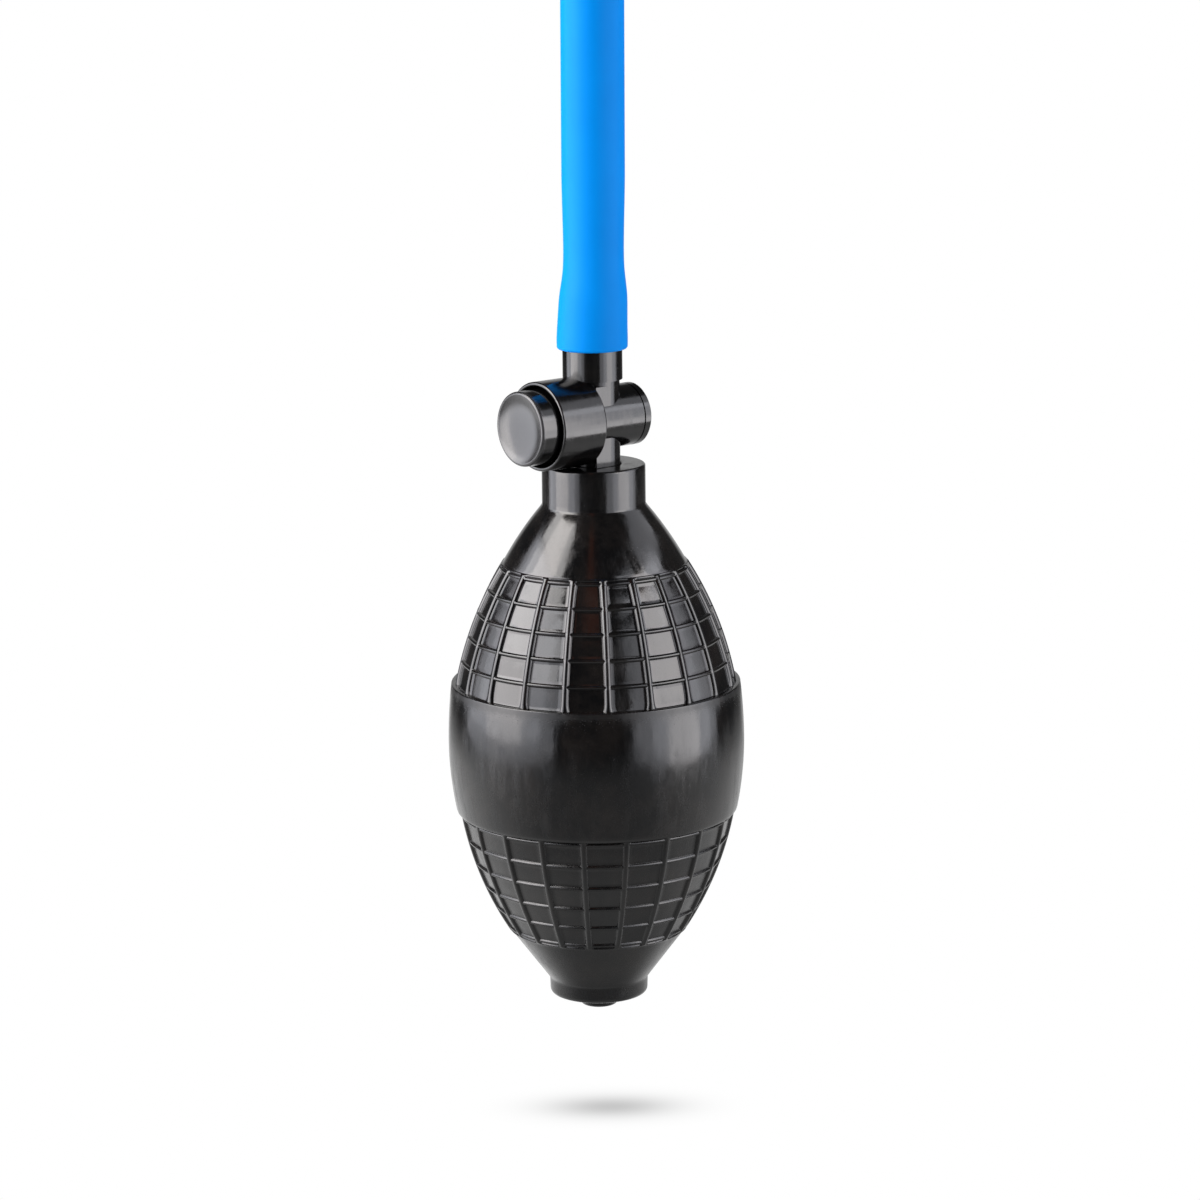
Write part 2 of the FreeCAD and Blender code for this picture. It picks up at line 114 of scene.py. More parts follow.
# Soft boxes, each with its two edges in degrees left of the camera, its low and high end and its
# distance in metres, its radiance and its colour.
COOL = (0.96, 0.975, 1.05)
WARM = (1.0, 0.93, 0.88)
CREAM = (1.0, 0.98, 0.97)
RED = (1.0, 0.3, 0.15)
BOX_LOW = FLOOR_Z - 0.004
SOFT_BOXES = [
    ("left_wide", 32, 117, BOX_LOW, 0.13, 0.312, 2.0, COOL),
    ("left_middle", 42, 111, BOX_LOW + 0.028, 0.13, 0.308, 1.9, COOL),
    ("left_core", 58, 91, BOX_LOW + 0.028, 0.43, 0.304, 2.2, WARM),
    ("left_bright", 58, 91, -0.15, 0.43, 0.306, 2.2, WARM),
    ("left_upper", 38, 104, -0.045, 0.13, 0.300, 3.4, CREAM),
    ("left_high", 47, 106, 0.13, 0.43, 0.302, 7.0, CREAM),
    ("right_wide", -28, -104, BOX_LOW, 0.12, 0.312, 2.0, COOL),
    ("right_middle", -43, -96, BOX_LOW, 0.12, 0.308, 1.6, COOL),
    ("right_core", -56, -84, BOX_LOW, -0.10, 0.304, 2.6, WARM),
    ("right_upper", -50, -75, -0.10, 0.12, 0.300, 4.1, WARM),
    ("right_top", -30, -57, 0.12, 0.155, 0.302, 4.0, COOL),
    ("right_high", -72, -126, 0.05, 0.25, 0.310, 1.5, COOL),
    ("warm_strip", 1, 11, 0.18, 0.90, 0.50, 0.4, RED),
]
KEPT_OFF_HOSE = ("left_high", "right_core", "right_upper")

# The bulb's two ribbed bands: the first upright rib's angle, its half width, the cells' depth below
# it, the cross ribs' pitch as a share of the band, and the height where the band meets the belt.
UPPER = {"first_rib": 2.1, "half": 0.66, "depth": 0.50, "cross_pitch": 0.1995, "belt_edge": -37.1}
LOWER = {"first_rib": 9.2, "half": 0.64, "depth": 0.44, "cross_pitch": 0.193, "belt_edge": -59.55}
RIBS = 20
RIB_PITCH = 2 * math.pi / RIBS
CROSS_RIBS = 6
FIRST_CROSS = 0.018
CROSS_HALF = 0.40
CROSS_HEIGHT = 0.72

# Upright ribs are narrower by CROSSING_PINCH where they cross a cross rib, and wider by FOOT_SPREAD
# at the band's ends. FLATTEN is how far a cell is pressed flat, from round to quite flat.
CROSSING_PINCH = 0.14
FOOT_SPREAD = 0.40
FOOT_LENGTH = 0.55
FLATTEN = 0.45

# The bulb's grid: where points lie across a rib, in half widths, how many lie in a cell, and the
# belt's middle, where the columns are even again and one of them is the seam between the halves.
RIB_OFFSETS = [-1.0, -0.93, -0.8, -0.62, -0.42, -0.21, 0.0, 0.21, 0.42, 0.62, 0.8, 0.93, 1.0]
CELL_COLUMNS = 8
CELL_ROWS = 6
ARC_STEPS = 2000
BELT_MIDDLE = -46.0
BELT_SEAM = -3.35

# The bulb's inside, from the tail's bore up to the neck's mouth.
BULB_INSIDE = [
    (5.0, -87.6), (7.2, -86.6), (13.0, -78.7), (18.3, -69.4), (21.2, -59.4), (22.7, -47.0),
    (22.2, -38.0), (18.4, -27.4), (13.2, -18.2), (10.0, -12.8), (5.6, -9.6), (5.2, -9.2), (5.2, -1.6),
]

# The hose, from the end that is stretched over the spigot up to its plain stretch, and its bore.
HOSE_OUTSIDE = [
    (5.93, 21.0), (5.86, 23.0), (5.79, 25.0), (5.73, 27.0), (5.64, 28.5), (5.47, 29.8), (5.30, 31.0),
    (5.16, 32.2), (5.07, 33.4), (5.03, 34.8), (5.02, 36.5), (5.06, 39.0), (5.13, 42.0), (5.20, 45.0),
    (5.25, 48.0),
]
HOSE_INSIDE = [(4.0, 46.0), (3.8, 38.5), (3.8, 35.0), (4.7, 30.0), (5.0, 24.4), (5.0, 20.0)]
HOSE_BORE_WIDEST = 5.01

# The hose's outside comes off the spigot askew: how far it moves to the right, first over the
# spigot's end and then up to the grip, where it comes back.
LEAN_AT_SPIGOT = 0.37
LEAN_ABOVE = 0.25
LEAN_START = 20.0
LEAN_FREE = 33.0
LEAN_BACK = 81.0
LEAN_END = 85.0

# Release button: its rim, its dish, and behind it the spring's pocket and the stem's hole.
RIM_ROUND = 0.5
DISH_DEPTH = 0.70
DISH_STEPS = 40
POCKET_INNER = 2.5
POCKET_OUTER = 4.6
POCKET_FLOOR = 12.6
STEM_HOLE = 1.5
STEM_HOLE_FLOOR = 13.6

# Release spring, its wire in metres. SPRING_CLOSED crowds the turns at both ends.
SPRING_WIRE = 0.0005
SPRING_TURNS = 5
SPRING_CLOSED = 0.75
STEPS_IN_TURN = 48
WIRE_SIDES = 12

# Steel as two shades and its least and greatest roughness.
STEEL = ((0.62, 0.62, 0.64), (0.5, 0.5, 0.52), 0.15, 0.28)

# Angles in degrees above which an edge stays sharp, on turned pieces and on the spring's wire.
SHARP = 35
SHARP_ON_WIRE = 60


def set_inputs(node, values):
    """Set sockets of a shader node by name."""
    for name, value in values.items():
        node.inputs[name].default_value = value


def add_object(name, data):
    """A new object in the scene that shows the data."""
    obj = bpy.data.objects.new(name, data)
    bpy.context.scene.collection.objects.link(obj)
    return obj


class Shader:
    """A material made of nodes, with short calls for the nodes it uses."""

    def __init__(self, name, **principled):
        self.material = bpy.data.materials.new(name)
        self.material.use_nodes = True
        self.tree = self.material.node_tree
        self.tree.nodes.clear()
        self.out = self.tree.nodes.new("ShaderNodeOutputMaterial")
        self.bsdf = self.tree.nodes.new("ShaderNodeBsdfPrincipled")
        self.tree.links.new(self.bsdf.outputs["BSDF"], self.out.inputs["Surface"])
        set_inputs(self.bsdf, principled)
        self.place = self.tree.nodes.new("ShaderNodeTexCoord").outputs["Object"]
        self.height = None

    def link(self, a, b):
        self.tree.links.new(a, b)

    def stretched(self, scale):
        """The object's own coordinates, scaled along each axis."""
        node = self.tree.nodes.new("ShaderNodeMapping")
        node.inputs["Scale"].default_value = scale
        self.link(self.place, node.inputs["Vector"])
        return node.outputs["Vector"]

    def noise(self, scale, detail=3.0, rough=0.5, vector=None):
        node = self.tree.nodes.new("ShaderNodeTexNoise")
        set_inputs(node, {"Scale": scale, "Detail": detail, "Roughness": rough})
        self.link(vector or self.place, node.inputs["Vector"])
        return node.outputs["Fac"]

    def along(self, axis):
        """The object's own coordinate along X, Y or Z."""
        node = self.tree.nodes.new("ShaderNodeSeparateXYZ")
        self.link(self.place, node.inputs[0])
        return node.outputs[axis]

    def specks(self, scale):
        """Distance from the nearest of many scattered points."""
        node = self.tree.nodes.new("ShaderNodeTexVoronoi")
        node.inputs["Scale"].default_value = scale
        self.link(self.place, node.inputs["Vector"])
        return node.outputs["Distance"]

    def ramp(self, value, low, high, start=0.0, end=1.0):
        """Value that goes from start to end while the given one goes from low to high."""
        node = self.tree.nodes.new("ShaderNodeMapRange")
        set_inputs(node, {"From Min": low, "From Max": high, "To Min": start, "To Max": end})
        self.link(value, node.inputs["Value"])
        return node.outputs["Result"]

    def math(self, kind, a, b):
        node = self.tree.nodes.new("ShaderNodeMath")
        node.operation = kind
        for socket, value in zip(node.inputs, (a, b)):
            if isinstance(value, (int, float)):
                socket.default_value = value
            else:
                self.link(value, socket)
        return node.outputs["Value"]

    def mix(self, factor, a, b):
        """Colour between a and b. Inputs 6 and 7 and output 2 are the Mix node's colour sockets."""
        node = self.tree.nodes.new("ShaderNodeMix")
        node.data_type = "RGBA"
        self.link(factor, node.inputs["Factor"])
        for socket, value in ((node.inputs[6], a), (node.inputs[7], b)):
            if isinstance(value, tuple):
                socket.default_value = (*value, 1.0)
            else:
                self.link(value, socket)
        return node.outputs[2]

    def bump(self, value, distance, strength=1.0):
        """Add a relief of that height in metres to the surface's shading, over the earlier ones."""
        node = self.tree.nodes.new("ShaderNodeBump")
        set_inputs(node, {"Distance": distance, "Strength": strength})
        self.link(value, node.inputs["Height"])
        if self.height is not None:
            self.link(self.height, node.inputs["Normal"])
        self.height = node.outputs["Normal"]
        self.link(self.height, self.bsdf.inputs["Normal"])

    def colour(self, value):
        self.link(value, self.bsdf.inputs["Base Color"])

    def roughness(self, value):
        self.link(value, self.bsdf.inputs["Roughness"])


def bulb_rubber():
    """Glossy moulded black rubber, streaky and smeared, and matter where a hand holds it.

    The belt's upper edge is dull and a little dusty.
    """
    s = Shader("bulb_rubber", IOR=1.5)
    z = s.along("Z")

    def between(start, full, most=1.0, height=z):
        """Grows from 0 to its most between two distances in millimetres below the neck's top."""
        return s.ramp(height, NECK_TOP - start * MM, NECK_TOP - full * MM, 0.0, most)

    lip = s.math("MULTIPLY", between(41.5, 38.0), between(36.8, 37.4))
    patchy = s.math("MULTIPLY", s.ramp(s.noise(45, 3, 0.7), 0.42, 0.7), 0.45)
    patchy = s.math("ADD", patchy, s.math("MULTIPLY", lip, 0.7))
    dust = s.math("MULTIPLY", s.ramp(s.specks(2300), 0.24, 0.08), patchy)
    haze = s.ramp(s.noise(110, 6, 0.75), 0.42, 0.75)
    tint = s.mix(haze, (0.0012, 0.0012, 0.0014), (0.0085, 0.0070, 0.0062))
    s.colour(s.mix(dust, tint, (0.016, 0.016, 0.017)))
    smears = s.ramp(s.noise(60, 5, 0.65), 0.3, 0.75, 0.065, 0.15)
    streaks = s.ramp(s.noise(420, 5, 0.75, s.stretched((1.0, 1.0, 0.22))), 0.44, 0.70, 0.0, 0.15)
    ragged = s.math("ADD", z, s.math("MULTIPLY", s.noise(110, 5, 0.7), 0.012))
    handled = s.math("ADD", between(35.5, 44.5, 0.085, ragged), between(52, 78, 0.05))
    edge = s.math("MULTIPLY", s.math("POWER", lip, 4.0), 0.22)
    matter = s.math("ADD", s.math("ADD", handled, edge), s.math("MULTIPLY", dust, 0.3))
    s.roughness(s.math("ADD", s.math("ADD", smears, streaks), matter))
    s.bump(s.noise(120, 2), 0.00006, 0.4)
    s.bump(s.noise(330, 3, 0.6), 0.00002, 0.5)
    s.bump(s.noise(1300, 3, 0.6, s.stretched((1.0, 1.0, 0.5))), 0.000010, 0.5)
    s.bump(s.noise(2600, 2, 0.5), 0.000008, 0.35)
    return s.material


def valve_plastic():
    """Glossy moulded black plastic: upright marks from its mould, handling haze and fine scratches."""
    s = Shader("valve_plastic", IOR=1.5)
    marks = s.noise(1100, 4, 0.65, s.stretched((1.0, 1.0, 0.05)))
    scratches = s.noise(2600, 3, 0.6, s.stretched((0.06, 0.06, 1.0)))
    haze = s.ramp(s.noise(260, 5, 0.7), 0.42, 0.75)
    s.colour(s.mix(haze, (0.0012, 0.0012, 0.0014), (0.0042, 0.0036, 0.0034)))
    waves = s.ramp(s.noise(220, 4, 0.65), 0.3, 0.75, 0.09, 0.16)
    fine = s.ramp(scratches, 0.5, 0.75, 0.0, 0.05)
    s.roughness(s.math("ADD", s.math("ADD", waves, fine), s.ramp(marks, 0.42, 0.72, 0.0, 0.10)))
    s.bump(s.noise(420, 2), 0.00001, 0.4)
    s.bump(marks, 0.000006, 0.5)
    s.bump(scratches, 0.000003, 0.5)
    return s.material


def button_plastic():
    """Black plastic, glossy on the side and satin on the face; the face's lighter grey is painted
    sheen.
    """
    s = Shader("button_plastic", IOR=1.5)
    face = s.ramp(s.along("Y"), -0.0146, -0.0152)
    # Painted sheen: the face is coloured a lighter grey than the side, standing in for the sheen it
    # catches.
    painted_face_sheen = s.mix(s.noise(300, 4), (0.015, 0.015, 0.0165), (0.020, 0.0195, 0.0195))
    s.colour(s.mix(face, (0.0018, 0.0017, 0.0018), painted_face_sheen))
    fine = s.ramp(s.noise(700, 4, 0.65), 0.3, 0.75, 0.13, 0.17)
    s.roughness(s.math("ADD", fine, s.math("MULTIPLY", face, 0.07)))
    s.bump(s.noise(420, 2), 0.00001, 0.4)
    s.bump(s.noise(3000, 2), 0.000004, 0.5)
    return s.material


def hose_silicone():
    """Satin blue silicone with faint lengthwise drawing lines."""
    s = Shader("hose_silicone", IOR=1.42)
    set_inputs(s.bsdf, {"Specular IOR Level": 0.06})
    lines = s.noise(900, 2, 0.5, s.stretched((1.0, 1.0, 0.02)))
    s.colour(s.mix(s.ramp(s.noise(120, 3), 0.35, 0.7), (0.0, 0.176, 0.552), (0.0, 0.186, 0.576)))
    s.roughness(s.ramp(lines, 0.3, 0.7, 0.42, 0.52))
    s.bump(lines, 0.00001, 0.4)
    s.bump(s.noise(2400, 2), 0.000006, 0.5)
    return s.material


def seal_rubber():
    """Matt black rubber of the small seals."""
    s = Shader("seal_rubber", IOR=1.5)
    s.colour(s.mix(s.noise(700, 3), (0.012, 0.012, 0.012), (0.02, 0.02, 0.02)))
    s.roughness(s.ramp(s.noise(900, 3), 0.3, 0.7, 0.45, 0.6))
    s.bump(s.noise(2500, 2), 0.00001, 0.5)
    return s.material


def metal(name, light, dark, low, high, turning):
    """Turned or drawn metal; turning stretches its fine marks along one axis."""
    s = Shader(name, Metallic=1.0)
    marks = s.noise(1800, 2, 0.5, s.stretched(turning))
    s.colour(s.mix(s.ramp(marks, 0.35, 0.7), light, dark))
    s.roughness(s.ramp(marks, 0.3, 0.7, low, high))
    s.bump(marks, 0.000004, 0.5)
    return s.material


def nylon():
    """Natural white nylon of the inner mouldings."""
    s = Shader("nylon", IOR=1.53)
    s.colour(s.mix(s.noise(400, 3), (0.68, 0.67, 0.62), (0.76, 0.75, 0.70)))
    s.roughness(s.ramp(s.noise(900, 3), 0.3, 0.7, 0.35, 0.5))
    s.bump(s.noise(2000, 2), 0.000008, 0.4)
    return s.material


def arc_points(start, via, end, count):
    """Points from start to end on the circle through via, without the first."""
    (x1, y1), (x2, y2), (x3, y3) = start, via, end
    d = 2 * (x1 * (y2 - y3) + x2 * (y3 - y1) + x3 * (y1 - y2))
    s1, s2, s3 = x1 * x1 + y1 * y1, x2 * x2 + y2 * y2, x3 * x3 + y3 * y3
    cx = (s1 * (y2 - y3) + s2 * (y3 - y1) + s3 * (y1 - y2)) / d
    cy = (s1 * (x3 - x2) + s2 * (x1 - x3) + s3 * (x2 - x1)) / d
    radius = math.hypot(x1 - cx, y1 - cy)
    a1 = math.atan2(y1 - cy, x1 - cx)
    a3 = math.atan2(y3 - cy, x3 - cx)
    angles = [a1 + (a3 - a1) * i / count for i in range(1, count + 1)]
    return [(cx + radius * math.cos(a), cy + radius * math.sin(a)) for a in angles]


def line_points(start, end, count):
    """Points from start to end, without the first."""
    steps = [i / count for i in range(1, count + 1)]
    return [(start[0] + (end[0] - start[0]) * t, start[1] + (end[1] - start[1]) * t) for t in steps]


def rib_height(distance, half):
    """Height of a rounded rib with steep flanks, from 1 on its crest to 0 at its foot."""
    x = np.clip(np.abs(distance) / half, 0.0, 1.0)
    return (1.0 - x**2.2) ** 0.75


def column_angles(radius, half_width, band):
    """Angles of a ring's columns from a cell's middle on: close on each rib, even in the cells."""
    half = half_width / radius
    first = math.radians(band["first_rib"])
    low, high = first + half, first + RIB_PITCH - half
    cell = [low + (high - low) * (i + 1) / (CELL_COLUMNS + 1) for i in range(CELL_COLUMNS)]
    middle = CELL_COLUMNS // 2
    on_rib = [first + offset * half for offset in RIB_OFFSETS]
    pattern = [angle - RIB_PITCH for angle in cell[middle:]] + on_rib + cell[:middle]
    return np.array([angle + k * RIB_PITCH for k in range(RIBS) for angle in pattern])


def band_rows(start, via, end, band):
    """Rows down a band's arc, as (r, z, cross rib's height, distance from the nearer end)."""
    fine = np.array([start] + arc_points(start, via, end, ARC_STEPS))
    length = np.concatenate([[0], np.cumsum(np.hypot(*np.diff(fine, axis=0).T))])
    total = length[-1]
    places = [(FIRST_CROSS + i * band["cross_pitch"]) * total for i in range(CROSS_RIBS)]
    stops = {0.0, total}
    for place in places:
        stops |= {place + offset * CROSS_HALF for offset in RIB_OFFSETS}
    for a, b in zip(places, places[1:]):
        cell = b - a - 2 * CROSS_HALF
        stops |= {a + CROSS_HALF + cell * i / CELL_ROWS for i in range(1, CELL_ROWS)}
    stops = np.unique(np.round([s for s in stops if 0 <= s <= total], 3))
    r = np.interp(stops, length, fine[:, 0])
    z = np.interp(stops, length, fine[:, 1])
    cross = np.max([rib_height(stops - place, CROSS_HALF) for place in places], axis=0)
    return [tuple(row) for row in np.stack([r, z, cross, np.minimum(stops, total - stops)], axis=1)]


def plain(points):
    """Rows of a smooth stretch of the bulb, which has no ribs."""
    return [(r, z, None, None) for r, z in points]


def upper_outline():
    """Outside of the bulb from the neck's mouth down to the middle of the belt."""
    rows = plain([(4.65, -1.2), (4.65, -0.25), (4.72, -0.08), (4.9, 0.0)])
    rows += plain(line_points((4.9, 0.0), (8.25, 0.0), 6))
    rows += plain(arc_points((8.25, 0.0), (8.55, -0.1), (8.68, -0.4), 5))
    rows += plain(line_points((8.68, -0.4), (8.7, -6.75), 10))
    rows += plain(line_points((8.7, -6.75), (8.98, -7.2), 3))
    rows += plain(arc_points((8.98, -7.2), (12.15, -11.4), (15.28, -16.45), 26))
    rows += plain([(15.31, -16.55), (15.33, -16.62), (15.4, -16.68), (15.62, -16.72)])
    rows += band_rows((15.78, -16.82), (20.6, -26.4), (23.7, -37.1), UPPER)
    rows += plain([(23.72, -37.13), (23.9, -37.14), (24.1, -37.15), (24.24, -37.17)])
    rows += plain(arc_points((24.24, -37.17), (24.35, -37.22), (24.4, -37.33), 5))
    rows += plain(arc_points((24.4, -37.33), (24.82, -41.8), (25.0, -46.0), 16))
    return rows


def lower_outline():
    """Outside of the bulb from the middle of the belt down to the tail's bore."""
    rows = plain([(25.0, -46.0)] + arc_points((25.0, -46.0), (24.72, -53.0), (23.86, -58.8), 22))
    rows += plain([(23.74, -59.15), (23.6, -59.32), (23.44, -59.4), (23.36, -59.46)])
    rows += band_rows((23.34, -59.55), (20.35, -70.0), (15.3, -79.95), LOWER)
    rows += plain([(15.16, -80.06), (15.02, -80.12), (14.86, -80.24)])
    rows += plain(line_points((14.86, -80.24), (8.62, -88.6), 22))
    rows += plain([(8.5, -88.78), (8.4, -89.0), (8.36, -89.3)])
    rows += plain(line_points((8.36, -89.3), (8.3, -91.0), 5))
    rows += plain(arc_points((8.3, -91.0), (8.06, -91.56), (7.5, -91.8), 6))
    rows += plain(line_points((7.5, -91.8), (5.3, -91.8), 5))
    rows += plain([(5.1, -91.75), (5.02, -91.6), (5.0, -91.2)])
    return rows


def cell_sink(angles, radius, half, cross, band):
    """How far below the upright ribs' crests a row of the band lies at each angle."""
    off = (angles - math.radians(band["first_rib"]) + RIB_PITCH / 2) % RIB_PITCH - RIB_PITCH / 2
    raised = np.maximum(rib_height(off * radius, half), cross * CROSS_HEIGHT)
    from_middle = np.abs(off) - RIB_PITCH / 2
    chord = radius * (1 - math.cos(RIB_PITCH / 2) / np.cos(from_middle))
    return (band["depth"] + FLATTEN * chord) * (1.0 - raised)


def ring_stack(rows, band):
    """Points of the rows of half the outline, with the ribs of its band, as (row, column, xyz)."""
    r = np.array([row[0] for row in rows])
    z = np.array([row[1] for row in rows])
    size = np.hypot(np.gradient(r), np.gradient(z))
    out_r, out_z = -np.gradient(z) / size, np.gradient(r) / size
    ribbed = [i for i, row in enumerate(rows) if row[2] is not None]
    stack = []
    for i, (radius, height, cross, _) in enumerate(rows):
        near_radius, _, near_cross, from_end = rows[min(max(i, ribbed[0]), ribbed[-1])]
        spread = 1.0 + FOOT_SPREAD * math.exp(-from_end / FOOT_LENGTH)
        half = band["half"] * spread * (1.0 - CROSSING_PINCH * near_cross)
        angles = column_angles(near_radius, half, band)
        even = math.radians(BELT_SEAM) + 2 * math.pi * np.arange(len(angles)) / len(angles)
        to_middle = (height - band["belt_edge"]) / (BELT_MIDDLE - band["belt_edge"])
        angles += (even - angles) * min(max(to_middle, 0.0), 1.0)
        sink = np.zeros(len(angles))
        if cross is not None:
            sink = cell_sink(angles, radius, half, cross, band)
        rr = radius - out_r[i] * sink
        zz = height - out_z[i] * sink
        stack.append(np.stack([rr * np.cos(angles), rr * np.sin(angles), zz], axis=1))
    return np.array(stack)


def bulb_surface():
    """Points and normals of the whole bulb as (row, column, xyz): down the outside, up the inside."""
    upper = ring_stack(upper_outline(), UPPER)
    lower = ring_stack(lower_outline(), LOWER)
    inside = []
    for i, (radius, height) in enumerate(BULB_INSIDE, 1):
        way = i / (len(BULB_INSIDE) + 1)
        flat = lower[-1, :, :2] * (1 - way) + upper[0, :, :2] * way
        flat *= radius / np.linalg.norm(flat, axis=1, keepdims=True)
        inside.append(np.column_stack([flat, np.full(len(flat), height)]))
    points = np.concatenate([upper, lower[1:], inside])
    around = np.roll(points, -1, axis=1) - np.roll(points, 1, axis=1)
    down = np.roll(points, -1, axis=0) - np.roll(points, 1, axis=0)
    normals = np.cross(down, around)
    return points, normals / np.linalg.norm(normals, axis=2, keepdims=True)


def strip_faces(first, second, n):
    """Quads between two rings of n points that begin at those indices."""
    return [(first + i, second + i, second + (i + 1) % n, first + (i + 1) % n) for i in range(n)]


def half_bulb(name, start, points, normals):
    """Half of the bulb from a seam column on, closed by the two faces where it is cut."""
    rows, total = points.shape[:2]
    columns = [(start + i) % total for i in range(total // 2 + 1)]
    n = len(columns)
    place = points[:, columns].reshape(-1, 3) * MM
    place[:, 2] += NECK_TOP
    faces = []
    for row in range(rows):
        a, b = row * n, (row + 1) % rows * n
        faces += [(a + i, b + i, b + i + 1, a + i + 1) for i in range(n - 1)]
    smooth = len(faces)
    faces.append([row * n for row in reversed(range(rows))])
    faces.append([row * n + n - 1 for row in range(rows)])
    mesh = bpy.data.meshes.new(name)
    mesh.from_pydata(place.tolist(), [], faces)
    mesh.polygons.foreach_set("use_smooth", [True] * smooth + [False, False])
    of_point = normals[:, columns].reshape(-1, 3)
    corners = [of_point[v].tolist() for face in faces[:smooth] for v in face]
    mesh.normals_split_custom_set(corners + [(0.0, 0.0, 0.0)] * (2 * rows))
    return add_object(name, mesh)


def camera():
    """Camera a little above the pump, turned so that the button points to the left."""
    a, e = math.radians(VIEW_AZIMUTH), math.radians(VIEW_ELEVATION)
    back = Vector((math.sin(a) * math.cos(e), -math.cos(a) * math.cos(e), math.sin(e)))
    right = Vector((math.cos(a), math.sin(a), 0.0))
    up = back.cross(right)
    aim = Vector((0, 0, NECK_TOP - AIM_BELOW_NECK * MM)) + right * AIM_RIGHT * MM
    turn = Matrix((right, up, back)).transposed().to_4x4()
    data = bpy.data.cameras.new("camera")
    data.lens = VIEW_LENS
    data.sensor_width = 36.0
    data.clip_start = 0.01
    obj = add_object("camera", data)
    roll = Matrix.Rotation(math.radians(-VIEW_ROLL), 4, "Z")
    obj.matrix_world = Matrix.Translation(aim + back * VIEW_DISTANCE) @ turn @ roll
    bpy.context.scene.camera = obj


def toward(left, distance, z=0.0):
    """Point that many degrees to the left of the camera's side of the pump, seen from its axis."""
    a = math.radians(VIEW_AZIMUTH - 90 - left)
    return Vector((math.cos(a) * distance, math.sin(a) * distance, z))


def soft_box(name, near, far, low, high, distance, radiance, colour):
    """Upright soft box facing the pump, from near to far degrees left and between two heights."""
    width = 2 * distance * math.tan(math.radians(abs(far - near) / 2))
    data = bpy.data.lights.new(name, "AREA")
    data.shape = "RECTANGLE"
    data.size = width
    data.size_y = high - low
    data.energy = radiance * width * (high - low) * math.pi
    data.color = colour
    obj = add_object(name, data)
    place = toward((near + far) / 2, distance, (low + high) / 2)
    inward = Vector((-place.x, -place.y, 0)).normalized()
    sideways = Vector((0, 0, 1)).cross(-inward)
    turn = Matrix((sideways, (0, 0, 1), -inward)).transposed().to_4x4()
    obj.matrix_world = Matrix.Translation(place) @ turn
    obj.visible_camera = False
    return obj


def keep_off(light, piece):
    """The light misses one piece, as if a card stood in its way."""
    group = bpy.data.collections.new(light.name + "_misses")
    group.objects.link(piece)
    light.light_linking.receiver_collection = group
    group.collection_objects[0].light_linking.link_state = "EXCLUDE"


def lights(tube):
    """Soft boxes on both sides, each side brighter in its middle and higher up."""
    for name, *box in SOFT_BOXES:
        light = soft_box(name, *box)
        if name in KEPT_OFF_HOSE:
            keep_off(light, tube)


def world():
    """Surroundings: white to the eye; in reflections white behind, dark in front, pale below."""
    world = bpy.data.worlds.new("world")
    bpy.context.scene.world = world
    world.use_nodes = True
    tree = world.node_tree
    tree.nodes.clear()
    out = tree.nodes.new("ShaderNodeOutputWorld")
    eye = tree.nodes.new("ShaderNodeBackground")
    eye.inputs["Color"].default_value = (1, 1, 1, 1)
    around = tree.nodes.new("ShaderNodeBackground")
    coord = tree.nodes.new("ShaderNodeTexCoord")

    def across(direction, low, high, at_low, at_high):
        """Smooth value that depends on how far a ray points along a direction."""
        dot = tree.nodes.new("ShaderNodeVectorMath")
        dot.operation = "DOT_PRODUCT"
        dot.inputs[1].default_value = direction
        tree.links.new(coord.outputs["Generated"], dot.inputs[0])
        fade = tree.nodes.new("ShaderNodeMapRange")
        fade.interpolation_type = "SMOOTHSTEP"
        set_inputs(fade, {"From Min": low, "From Max": high, "To Min": at_low, "To Max": at_high})
        tree.links.new(dot.outputs["Value"], fade.inputs["Value"])
        return fade.outputs["Result"]

    def blend(factor, first, second):
        """First value where the factor is 0, the second where it is 1."""
        mix = tree.nodes.new("ShaderNodeMix")
        tree.links.new(factor, mix.inputs["Factor"])
        tree.links.new(first, mix.inputs["A"])
        tree.links.new(second, mix.inputs["B"])
        return mix.outputs["Result"]

    front = toward(0, 1.0)
    straight_down = across(front, -0.1, 0.55, 0.45, 0.85)
    left_down = across(front, -0.4, 0.4, 1.0, 1.5)
    deep = blend(across(toward(90, 1.0), 0.25, 0.7, 0.0, 1.0), straight_down, left_down)
    right_shallow = across(front, -0.4, 0.85, 1.1, 0.45)
    left_shallow = across(front, -0.4, 0.85, 1.6, 0.45)
    shallow = blend(across(toward(90, 1.0), -0.2, 0.2, 0.0, 1.0), right_shallow, left_shallow)
    below = blend(across((0, 0, 1), -0.88, -0.60, 0.0, 1.0), deep, shallow)
    above = across(front, -0.97, -0.88, 0.75, 0.07)
    level = blend(across((0, 0, 1), -0.30, -0.17, 0.0, 1.0), below, above)
    tree.links.new(level, around.inputs["Strength"])
    path = tree.nodes.new("ShaderNodeLightPath")
    mix = tree.nodes.new("ShaderNodeMixShader")
    tree.links.new(path.outputs["Is Camera Ray"], mix.inputs["Fac"])
    tree.links.new(around.outputs["Background"], mix.inputs[1])
    tree.links.new(eye.outputs["Background"], mix.inputs[2])
    tree.links.new(mix.outputs["Shader"], out.inputs["Surface"])


